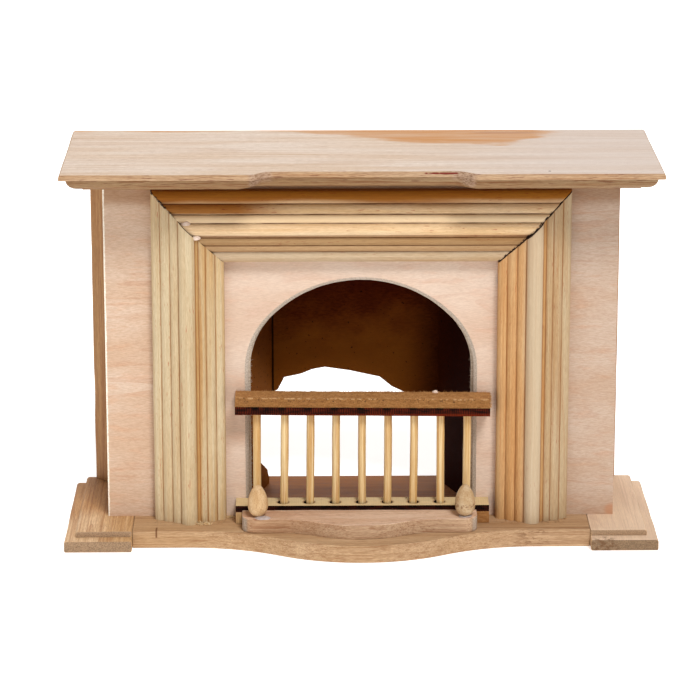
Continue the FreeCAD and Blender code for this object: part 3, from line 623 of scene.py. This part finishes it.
LOOKS = {
    "shelf": sawn_wood("shelf_pine", 0, (227, 214, 203), (217, 195, 174), (190, 152, 116),
                       (184, 156, 130), (132, 62, 38), rings=(11, 13, 260),
                       strengths=(0.4, 0.7, 0.6, 0.8), cut_from=0.8, paint=shelf_marks),
    "top_moulding": sawn_wood("golden_moulding_pine", 0, (236, 212, 176), (224, 188, 140),
                              (196, 144, 92), (190, 150, 110), (164, 58, 28), rings=(7, 6, 190),
                              strengths=(0.3, 0.9, 0.22, 0.5), shift=(4, 2, 9),
                              paint=top_board_tone),
    "left_moulding": sawn_wood("pale_moulding_pine", 2, (206, 189, 156), (197, 173, 134),
                               (180, 138, 88), (176, 144, 104), (168, 76, 38), rings=(8, 5, 190),
                               strengths=(0.28, 0.8, 0.22, 0.5), shift=(1, 8, 3),
                               paint=left_leg_tone),
    "right_moulding": sawn_wood("orange_moulding_pine", 2, (208, 188, 156), (200, 168, 126),
                                (182, 128, 78), (170, 134, 96), (160, 72, 36), rings=(9, 4.5, 200),
                                strengths=(0.35, 0.8, 0.25, 0.5), shift=(7, 3, 5),
                                paint=right_leg_tone),
    "hearth": sawn_wood("hearth_pine", 0, (202, 170, 134), (184, 148, 108), (152, 110, 72),
                        (160, 132, 102), (104, 50, 30), rings=(8, 12, 160),
                        strengths=(0.4, 0.7, 0.5, 0.8), shift=(3, 1, 6), paint=hearth_tone),
    "plinth": sawn_wood("plinth_pine", 1, (218, 186, 148), (196, 158, 112), (156, 104, 62),
                        (174, 144, 114), (98, 50, 30), rings=(9, 7, 90),
                        strengths=(0.45, 0.6, 0.5, 0.8), cut_from=0.6, shift=(5, 4, 2),
                        paint=plinth_tone),
    "side": sawn_wood("side_pine", 2, (187, 145, 98), (167, 118, 73), (133, 81, 46), (160, 118, 82),
                      (104, 50, 28), rings=(8, 6, 140), strengths=(0.35, 0.6, 0.35, 0.8),
                      shift=(2, 9, 7)),
    "fender": sawn_wood("fender_wood", 0, (230, 203, 179), (212, 175, 145), (170, 118, 84),
                        (186, 166, 148), (128, 64, 38), rings=(10, 5, 60),
                        strengths=(0.45, 0.9, 0.5, 0.8), shift=(6, 2, 4), paint=shaded_sawn_fronts),
    "foot": sawn_wood("pale_foot_ply", 2, (216, 186, 140), (196, 160, 112), (150, 104, 62),
                      (172, 148, 126), (128, 64, 38), shift=(2, 2, 4)),
    "panel": birch_plywood("birch_veneer"),
    # Inside the firebox the board's dark brown is painted shade; its outward faces get the raw
    # brown in the paint step.
    "firebox": fibreboard("shaded_hardboard", (74, 27, 6), (100, 46, 12), (18, 5, 2),
                          gloss=0.04, paint=firebox_light_and_shade),
    "rim": fibreboard("pale_fibre_rim", (182, 164, 144), (216, 202, 186),
                      (116, 92, 72), 0.14, paint=only_rim_pale),
    "rail": fibreboard("brown_fibreboard", (152, 104, 56), (184, 136, 84),
                       (80, 44, 20), 0.14, paint=rail_marks),
    "foot_board": fibreboard("brown_foot_board", (146, 98, 52), (176, 126, 76),
                             (80, 44, 20), 0.14),
    "fuzz": fibreboard("torn_fibres", (170, 120, 70), (204, 156, 102),
                       (120, 76, 40), 0.02),
    "rim_fuzz": fibreboard("pale_torn_fibres", (180, 162, 142), (214, 200, 184),
                           (140, 112, 88), 0.02),
    "curls": fibreboard("pale_wood_curls", (226, 194, 142), (246, 224, 182),
                        (190, 146, 96), 0.02),
    "top_strip": scorched_plywood("scorched_top_strip", "grate_top_strip", (200, 152, 94),
                                  (134, 44, 12)),
    "bottom_strip": scorched_plywood("scorched_bottom_strip", "grate_bottom_strip",
                                     (216, 190, 144), (66, 26, 12)),
    "finial": turned_wood("turned_birch"),
    "filler": dried_glue("dried_filler", (236, 214, 198), 0.0),
    "glue": dried_glue("clear_glue", (214, 198, 192), 0.35),
}


# --- mesh helpers ---------------------------------------------------------------------------------


def show(name, bm, look, replaces=(), smooth_angle=35):
    """Makes a piece of the object from a bmesh in millimetres, shaded smooth up to an angle."""
    mesh = bpy.data.meshes.new(name)
    bmesh.ops.recalc_face_normals(bm, faces=bm.faces)
    bm.to_mesh(mesh)
    bm.free()
    for vertex in mesh.vertices:
        vertex.co *= MM
    mesh.materials.append(LOOKS[look] if isinstance(look, str) else look)
    mesh.shade_smooth()
    mesh.set_sharp_from_angle(angle=math.radians(smooth_angle))
    piece = bpy.data.objects.new(name, mesh)
    bpy.context.scene.collection.objects.link(piece)
    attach(piece, "root")
    if replaces:
        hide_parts(*replaces)
    return piece


def cad_copy(node):
    """A clean bmesh of a CAD node, in millimetres, with flat faces whole."""
    bm = bmesh.new()
    bm.from_mesh(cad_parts[node].data)
    for vertex in bm.verts:
        vertex.co /= MM
    bmesh.ops.remove_doubles(bm, verts=bm.verts, dist=0.001)
    bmesh.ops.dissolve_limit(bm, angle_limit=math.radians(0.6), verts=bm.verts, edges=bm.edges)
    return bm


def slice_along(bm, axis, pitch):
    """Cuts rings of edges across the piece, pitch apart along an axis, so that it can bend."""
    values = [vertex.co[axis] for vertex in bm.verts]
    start, end = min(values), max(values)
    count = max(1, round((end - start) / pitch))
    normal = Vector((0, 0, 0))
    normal[axis] = 1
    for step in range(1, count):
        point = normal * (start + (end - start) * step / count)
        everything = [*bm.verts, *bm.edges, *bm.faces]
        bmesh.ops.bisect_plane(bm, geom=everything, dist=0.0005, plane_co=point, plane_no=normal)


def ease_edges(bm, radius):
    """Rounds every outer edge sharper than 25 degrees, and leaves grooves crisp."""
    outer = [edge for edge in bm.edges if len(edge.link_faces) == 2 and edge.is_convex]
    sharp = [edge for edge in outer if edge.calc_face_angle(0) > math.radians(25)]
    bmesh.ops.bevel(bm, geom=sharp, offset=radius, offset_type="OFFSET", segments=2, profile=0.5,
                    affect="EDGES", clamp_overlap=True)


def waver(bm, amount, cell, seed, axes=(1, 1, 1)):
    """Moves points by smooth noise, up to about amount, that changes over cell millimetres."""
    for vertex in bm.verts:
        push = noise.noise_vector(vertex.co / cell + Vector((seed * 7.3, seed * 3.1, seed * 5.7)))
        vertex.co += Vector(push[i] * amount * axes[i] for i in range(3))


def held(point, start, end):
    """The point, moved inside the box from start to end."""
    return Vector(min(max(point[i], start[i]), end[i]) for i in range(3))


def join_rings(bm, rings):
    """Faces between closed rings of points, one ring to the next."""
    for first, second in zip(rings, rings[1:]):
        for index in range(len(first)):
            after = (index + 1) % len(first)
            bm.faces.new((first[index], first[after], second[after], second[index]))


def softened(node, look, slot, ease, axis, pitch, sway, cell, seed, axes=(1, 1, 1), tilt=0.0):
    """The CAD node as a hand-made piece: edges eased, lines not quite straight, and turned by tilt
    degrees in the plane of the front."""
    bm = cad_copy(node)
    slice_along(bm, axis, pitch)
    ease_edges(bm, ease)
    waver(bm, sway, cell, seed, axes)
    start, end = low(node), high(node)
    for vertex in bm.verts:
        vertex.co = held(vertex.co, start, end)
    to_middle = Matrix.Translation(middle(node))
    turn = to_middle @ Matrix.Rotation(math.radians(tilt), 4, "Y") @ to_middle.inverted()
    bmesh.ops.transform(bm, matrix=turn, verts=bm.verts)
    piece = show(f"{node}_piece", bm, look, [node])
    piece.modifiers.new("even_shading", "WEIGHTED_NORMAL").keep_sharp = True
    return piece


# The three corners of a hair, as turns in radians.
THIRDS = (0, 2.094, 4.189)


def add_fibre(bm, root, direction, length, thick, curl):
    """One tapering three-sided hair, bent by curl as it goes."""
    direction = direction.normalized()
    side = direction.orthogonal().normalized()
    other = direction.cross(side)
    rings = []
    for share in (0, 0.25, 0.5, 0.75):
        centre = root + direction * length * share + curl * length * share**2
        radius = thick * (1 - share)
        rings.append([
            bm.verts.new(centre + (side * math.cos(turn) + other * math.sin(turn)) * radius)
            for turn in THIRDS
        ])
    tip = bm.verts.new(root + direction * length + curl * length)
    bm.faces.new(reversed(rings[0]))
    join_rings(bm, rings)
    for index in range(3):
        bm.faces.new((rings[-1][index], rings[-1][(index + 1) % 3], tip))


def fuzz(name, look, roots, length, thick, spread=0.6):
    """Torn fibres standing on a list of (point, outward direction)."""
    bm = bmesh.new()
    for point, outward in roots:
        lean = Vector(dice.uniform(-spread, spread) for _ in range(3))
        curl = Vector(dice.uniform(-0.5, 0.5) for _ in range(3))
        own_length = length * dice.uniform(0.35, 1.0)
        add_fibre(bm, point, outward + lean, own_length, thick * dice.uniform(0.6, 1.2), curl)
    return show(name, bm, look, smooth_angle=180)


def blob(name, look, centre, size, seed):
    """A small lump of glue or filler: a sphere pressed to size and made uneven."""
    bm = bmesh.new()
    bmesh.ops.create_icosphere(bm, subdivisions=4, radius=1.0)
    for vertex in bm.verts:
        grow = 1 + 0.25 * noise.noise(vertex.co * 1.4 + Vector((seed, 0, 0)))
        vertex.co = centre + Vector(vertex.co[i] * size[i] * grow for i in range(3))
    return show(name, bm, look, smooth_angle=180)


# --- mantel shelf ---------------------------------------------------------------------------------

# The nose's height, the top slab's thickness, how far it stands out, and the ovolo below it.
SHELF_NOSE = 1.0
SHELF_SLAB = 1.7
SHELF_STEP = 1.8
OVOLO_DEEP = 3.9
OVOLO_HIGH = 3.15
# The front edge's recess: its half width, the length of its S curve and how much further out the
# lower rows begin it, at the left and at the right; how far back it stands; how torn it is.
RECESS_LEFT, RECESS_RIGHT = (24.2, 4.6, 0.6), (24.8, 5.6, 0.0)
RECESS_BACK = 3.6
TORN_DEPTH = 0.16


def shelf_profile(top, under):
    """(inset, height) from the top face's rim, round the nose, in at the step, down the ovolo."""
    points = []
    for step in range(5):
        turn = math.radians(90 * step / 4)
        inset = SHELF_NOSE * 0.8 * (1 - math.sin(turn))
        points.append((inset, top - SHELF_NOSE * (1 - math.cos(turn))))
    slab_low = top - SHELF_SLAB
    points += [(0.0, slab_low + 0.25), (0.12, slab_low + 0.06), (0.5, slab_low)]
    points += [(SHELF_STEP - 0.15, slab_low), (SHELF_STEP, slab_low - 0.08)]
    for step in range(1, 10):
        turn = math.radians(90 * step / 9)
        inset = SHELF_STEP + OVOLO_DEEP * (1 - math.cos(turn))
        points.append((inset, slab_low - 0.08 - (OVOLO_HIGH - 0.08) * math.sin(turn)))
    quirk = SHELF_STEP + OVOLO_DEEP
    points += [(quirk + 0.1, under + 0.35), (quirk + 0.25, under + 0.08), (quirk + 0.5, under)]
    return points


def recess(across, inset):
    """How far the front edge stands back at a distance across from the middle. On the left the
    lower, inset rows step back a little further out."""
    half, run, spread = RECESS_LEFT if across < 0 else RECESS_RIGHT
    share = min(max((half + run + inset * spread - abs(across)) / run, 0), 1)
    return RECESS_BACK * share * share * (3 - 2 * share)


def shelf_row(inset, start, end):
    """Points (x, y, how torn) of one line of the moulded edge, round both ends and the front."""
    left, right, front = start.x + inset, end.x - inset, start.y + inset
    depth_steps, across_steps = 20, 330
    row = []
    for step in range(depth_steps):
        row.append((left, end.y + (front - end.y) * step / depth_steps, 0.0))
    for step in range(across_steps + 1):
        across = left + (right - left) * step / across_steps
        back = recess(across, inset)
        row.append((across, front + back, math.sin(math.pi * back / RECESS_BACK)))
    for step in range(depth_steps):
        row.append((right, front + (end.y - front) * (step + 1) / depth_steps, 0.0))
    return row


def shelf():
    """One board whose moulded edge runs along both ends and the stepped-back front."""
    start, end = low("mantel_shelf"), high("mantel_shelf")
    bm = bmesh.new()
    rows = []
    for inset, height in shelf_profile(end.z, start.z):
        row = []
        for x, y, torn in shelf_row(inset, start, end):
            spot = Vector((x, y, height))
            below = min(1.0, (end.z - height) / 0.5)
            spot += noise.noise_vector(spot / 9) * 0.06 * below
            spot += noise.noise_vector(spot / 0.7) * TORN_DEPTH * torn * below
            row.append(bm.verts.new(held(spot, start, end)))
        rows.append(row)
    for first, second in zip(rows, rows[1:]):
        for index in range(len(first) - 1):
            bm.faces.new((first[index], second[index], second[index + 1], first[index + 1]))
    bm.faces.new(rows[0])
    bm.faces.new(list(reversed(rows[-1])))
    bm.faces.new([*(row[0] for row in reversed(rows)), *(row[-1] for row in rows)])
    show("shelf_board", bm, "shelf", ["mantel_shelf"], smooth_angle=50)


# --- turned, round and fibrous pieces -------------------------------------------------------------


def finial(node, seed):
    """A turned egg, a little uneven, with a rounded foot and a blunt tip."""
    bottom, top, centre = low(node), high(node), middle(node)
    widest = (top.x - bottom.x) / 2
    bm = bmesh.new()
    rings = []
    ring_count, sides = 40, 48
    for step in range(ring_count + 1):
        up = (1 - math.cos(math.pi * step / ring_count)) / 2
        radius = widest * 1.02 * math.sqrt(max(0.0, 1 - (2 * up - 1) ** 2)) * (1.17 - 0.42 * up)
        radius = min(radius, widest)
        rings.append([
            bm.verts.new((
                centre.x + radius * math.cos(2 * math.pi * side / sides),
                centre.y + radius * math.sin(2 * math.pi * side / sides),
                bottom.z + (top.z - bottom.z) * up,
            ))
            for side in range(sides)
        ])
    join_rings(bm, rings)
    bmesh.ops.remove_doubles(bm, verts=bm.verts, dist=0.0005)
    waver(bm, 0.05, 3, seed)
    show(f"{node}_egg", bm, "finial", [node], smooth_angle=180)


# How far each bar stands to the right of its place, at its foot and at its top.
BAR_SHIFTS = (
    (0.2, 0.2), (0.3, 0.7), (0.3, 0.6), (0.25, 0.4), (0.3, 0.3), (0.0, 0.15), (-0.1, 0.15),
    (0.3, 0.2), (0.3, 0.45),
)


def grate_bar(number):
    """One cocktail stick, slightly bent, leaning and uneven in thickness."""
    node = f"grate_bar_{number}"
    bottom, top, centre = low(node), high(node), middle(node)
    radius = (top.x - bottom.x) / 2
    at_foot, at_top = BAR_SHIFTS[number - 1]
    bow = dice.uniform(-0.14, 0.14)
    bm = bmesh.new()
    rings = []
    ring_count, sides = 22, 20
    for step in range(ring_count + 1):
        share = step / ring_count
        across = centre.x + at_foot + (at_top - at_foot) * share + bow * math.sin(math.pi * share)
        ring = []
        for side in range(sides):
            turn = 2 * math.pi * side / sides
            spot = (math.cos(turn) * 2, math.sin(turn) * 2 + number * 9, share * 5)
            flat = 1 + 0.05 * math.cos(3 * turn + number) + 0.04 * noise.noise(Vector(spot))
            spread = radius * 1.02 * flat
            ring.append(bm.verts.new((
                across + spread * math.cos(turn),
                centre.y + spread * math.sin(turn),
                bottom.z + (top.z - bottom.z) * share,
            )))
        rings.append(ring)
    join_rings(bm, rings)
    bm.faces.new(reversed(rings[0]))
    bm.faces.new(rings[-1])
    look = stick_bamboo(f"stick_{number}", (number * 3.1, number * 1.7, number * 0.9))
    show(f"{node}_stick", bm, look, [node], smooth_angle=50)


def edge_roots(start, end, outward, count):
    """Points scattered along an edge, with the way out of it."""
    return [
        (start.lerp(end, dice.random()), Vector(outward) + Vector((dice.uniform(-0.3, 0.3), 0, 0)))
        for _ in range(count)
    ]


def rail_fuzz():
    """Torn fibres along the cap rail's long edges and its right end."""
    a, b = low("grate_cap_rail"), high("grate_cap_rail")
    drop = math.tan(math.radians(RAIL_TILT)) * (b.x - a.x) / 2
    left_top, right_top = b.z + drop - 0.1, b.z - drop - 0.1
    front, back = a.y + 0.1, b.y - 0.4
    back_left, back_right = Vector((a.x, back, left_top)), Vector((b.x, back, right_top))
    back_middle = Vector(((a.x + b.x) / 2, back, b.z - 0.1))
    front_left, front_right = Vector((a.x, front, left_top)), Vector((b.x, front, right_top))
    roots = edge_roots(back_left, back_middle, (0, -0.3, 1), 120)
    roots += edge_roots(back_middle, back_right, (0, -0.3, 1), 260)
    roots += edge_roots(front_left, front_right, (0, -1, 0.8), 260)
    roots += edge_roots(front_right, back_right, (1, 0, 0.5), 70)
    roots += edge_roots(Vector((b.x, a.y, a.z)), front_right, (1, -0.6, 0), 50)
    fuzz("rail_fuzz", "fuzz", roots, 0.7, 0.085)


def arch_fuzz():
    """Pale fibres round the inside of the arch, where the fibreboard was cut."""
    front = high("front_panel").y + 0.2
    foot = low("front_panel").z
    roots = []
    for _ in range(300):
        side = dice.choice((-1, 1))
        height = dice.uniform(foot + 4, foot + ARCH_SPRING + 6)
        roots.append((Vector((side * ARCH_HALF, front, height)), Vector((-side, -0.3, 0.2))))
    fuzz("arch_fuzz", "rim_fuzz", roots, 0.7, 0.08)


def saw_fuzz():
    """Frayed ends where the surround's legs were sawn and stand on the hearth."""
    for node, look in (("surround_left", "left_moulding"), ("surround_right", "right_moulding")):
        a, b = low(node), high(node)
        roots = []
        for _ in range(110):
            root = Vector((dice.uniform(a.x, b.x), dice.uniform(a.y + 1, a.y + 5), a.z + 0.1))
            roots.append((root, Vector((dice.uniform(-0.6, 0.6), -1, 0.15))))
        fuzz(f"{node}_frayed_end", look, roots, 0.8, 0.06)


def torn_curls():
    """Pale curls left by the saw at the foot of the left leg, browner ones at the right leg's."""
    left, right = low("surround_left"), high("surround_right")
    roots = []
    for start, end, front, count in ((11.6, 15.4, 1.0, 70), (18.6, 21.4, 7.0, 40)):
        for _ in range(count):
            across = left.x + dice.uniform(start, end)
            root = Vector((across, left.y + front + dice.uniform(-0.6, 1.0), left.z))
            roots.append((root, Vector((dice.uniform(-1, 1), -0.6, dice.uniform(0.2, 1.1)))))
    fuzz("left_leg_curls", "curls", roots, 1.7, 0.12, spread=0.8)
    roots = []
    for _ in range(50):
        across = right.x - dice.uniform(0.2, 4.5)
        root = Vector((across, right.y - 3.2 - dice.uniform(0, 1.2), left.z))
        roots.append((root, Vector((dice.uniform(-1, 1), -0.8, dice.uniform(0.1, 0.6)))))
    fuzz("right_leg_curls", "fuzz", roots, 1.0, 0.1, spread=0.8)


def glue_and_filler():
    """Filler in the left mitre, a bit of glue on the cap rail and smears under both finials."""
    start, end = low("surround_top"), high("surround_top")
    corner = Vector((start.x, start.y, end.z))
    rail = high("grate_cap_rail")
    left, right = middle("finial_left"), middle("finial_right")
    left.z, right.z = low("finial_left").z, low("finial_right").z
    for name, look, slot, centre, size, seed in (
        ("mitre_filler_upper", "filler", "moulding_pine", corner + Vector((9.5, 1.3, -8.5)),
         (1.5, 0.8, 1.2), 3),
        ("mitre_filler_lower", "filler", "moulding_pine", corner + Vector((12.2, 0.95, -11.8)),
         (1.15, 0.6, 0.6), 5),
        ("rail_glue", "filler", "rail_fibreboard", Vector((20.1, rail.y - 0.8, rail.z - 0.05)),
         (0.75, 0.5, 0.5), 7),
        ("finial_glue", "glue", "fender_beech", left + Vector((1.3, -1.5, 0.1)),
         (2.1, 1.3, 0.4), 9),
        ("finial_glue_right", "glue", "fender_beech", right + Vector((0, -0.4, 0.05)),
         (1.7, 1.5, 0.22), 4),
    ):
        blob(name, look, centre, size, seed)


# --- build ----------------------------------------------------------------------------------------


# Pieces that follow the CAD: node, look, slot, how far its edges are eased, the axis and pitch of
# the cuts that let it bend, how much it wavers, over what distance, with what seed, by how much in
# X, Y and Z, and its tilt.
PIECES = (
    ("surround_left", "left_moulding", "moulding_pine", 0.16, 2, 2.5, 0.07, 14, 13),
    ("surround_right", "right_moulding", "moulding_pine", 0.16, 2, 2.5, 0.07, 14, 14),
    ("surround_top", "top_moulding", "moulding_pine", 0.16, 0, 2.5, 0.07, 14, 12),
    ("corner_strip_left", "side", "moulding_pine", 0.25, 2, 1.5, 0.3, 11, 3, (1, 0.4, 0)),
    ("corner_strip_right", "side", "moulding_pine", 0.25, 2, 1.5, 0.2, 11, 5, (1, 0.4, 0)),
    ("side_board_left", "side", "pine", 0.15, 2, 6, 0.05, 20, 4),
    ("side_board_right", "side", "pine", 0.15, 2, 6, 0.05, 20, 4),
    ("front_panel", "panel", "birch_plywood", 0.26, 2, 8, 0.03, 30, 2),
    ("firebox_frame", "rim", "fibreboard", 0.12, 2, 3, 0.08, 2, 6),
    ("firebox_cheek_left", "firebox", "fibreboard", 0.12, 2, 1.5, 0.18, 2.2, 6),
    ("firebox_cheek_right", "firebox", "fibreboard", 0.12, 2, 1.5, 0.18, 2.2, 6),
    ("fireback", "firebox", "fibreboard", 0.12, 2, 1.5, 0.18, 2.2, 6),
    ("hearth_board", "hearth", "hearth_pine", 0.3, 0, 3, 0.05, 18, 7),
    ("plinth_left", "plinth", "hearth_pine", 0.42, 1, 3, 0.12, 9, 8),
    ("plinth_right", "plinth", "hearth_pine", 0.42, 1, 3, 0.12, 9, 9),
    ("grate_cap_rail", "rail", "rail_fibreboard", 0.18, 0, 0.8, 0.16, 1.6, 10, (1, 1, 1),
     RAIL_TILT),
    ("grate_top_strip", "top_strip", "scorched_plywood", 0.08, 0, 2, 0.05, 6, 11, (1, 1, 1),
     RAIL_TILT),
    ("grate_bottom_strip", "bottom_strip", "scorched_plywood", 0.08, 0, 2, 0.05, 6, 12),
    ("grate_foot_left", "foot", "birch_plywood", 0.1, 2, 1, 0.04, 2, 13),
    ("grate_foot_right", "foot_board", "rail_fibreboard", 0.1, 2, 1, 0.06, 2, 14),
    ("fender", "fender", "fender_beech", 0.5, 0, 1.5, 0.1, 7, 15),
)


def build():
    """Every piece of the object. The dice are drawn in this order."""
    shelf()
    for piece in PIECES:
        softened(*piece)
    finial("finial_left", 1)
    finial("finial_right", 2)
    for number in BARS:
        grate_bar(number)
    rail_fuzz()
    arch_fuzz()
    saw_fuzz()
    torn_curls()
    glue_and_filler()


def sun(name, direction, spread, power, tint=(1, 1, 1)):
    """Even light from a direction, as soft as a lamp spread degrees wide."""
    lamp = bpy.data.lights.new(name, "SUN")
    lamp.angle = math.radians(spread)
    lamp.energy = power
    lamp.color = tint
    holder = bpy.data.objects.new(name, lamp)
    holder.rotation_euler = Vector(direction).to_track_quat("Z", "Y").to_euler()
    bpy.context.scene.collection.objects.link(holder)


def stage():
    """White table and soft studio light from the front right."""
    floor_mesh = bpy.data.meshes.new("floor")
    corners = [(-3, -3, 0), (3, -3, 0), (3, 3, 0), (-3, 3, 0)]
    floor_mesh.from_pydata(corners, [], [(0, 1, 2, 3)])
    floor = bpy.data.objects.new("floor", floor_mesh)
    white = bpy.data.materials.new("white_table")
    white.use_nodes = True
    surface = white.node_tree.nodes["Principled BSDF"]
    surface.inputs["Base Color"].default_value = (0.92, 0.92, 0.92, 1)
    surface.inputs["Roughness"].default_value = 0.9
    surface.inputs["Emission Color"].default_value = (1, 1, 1, 1)
    surface.inputs["Emission Strength"].default_value = 0.5
    floor_mesh.materials.append(white)
    bpy.context.scene.collection.objects.link(floor)
    sun("key", (0.24, -0.66, 0.88), 18, 2.4)
    sun("fill", (-0.6, -0.7, 0.35), 60, 0.3)
    sun("back", (-0.2, 0.75, 0.65), 70, 1.45)
    world = bpy.data.worlds.new("studio")
    bpy.context.scene.world = world
    world.use_nodes = True
    world.node_tree.nodes["Background"].inputs["Color"].default_value = (1, 0.9, 0.8, 1)
    world.node_tree.nodes["Background"].inputs["Strength"].default_value = 0.28
    bpy.context.scene.view_settings.view_transform = "Standard"


def camera():
    """A long lens, 15 degrees above level, a little shifted so that the verticals stay upright."""
    data = bpy.data.cameras.new("camera")
    data.lens = 166.4
    data.shift_y = -0.1
    data.clip_start = 0.01
    holder = bpy.data.objects.new("camera", data)
    holder.location = (-0.01347, -0.84392, 0.29176)
    holder.rotation_euler = (math.pi / 2 - 0.25681, 0, -0.01204)
    bpy.context.scene.collection.objects.link(holder)
    bpy.context.scene.camera = holder


build()
stage()
camera()
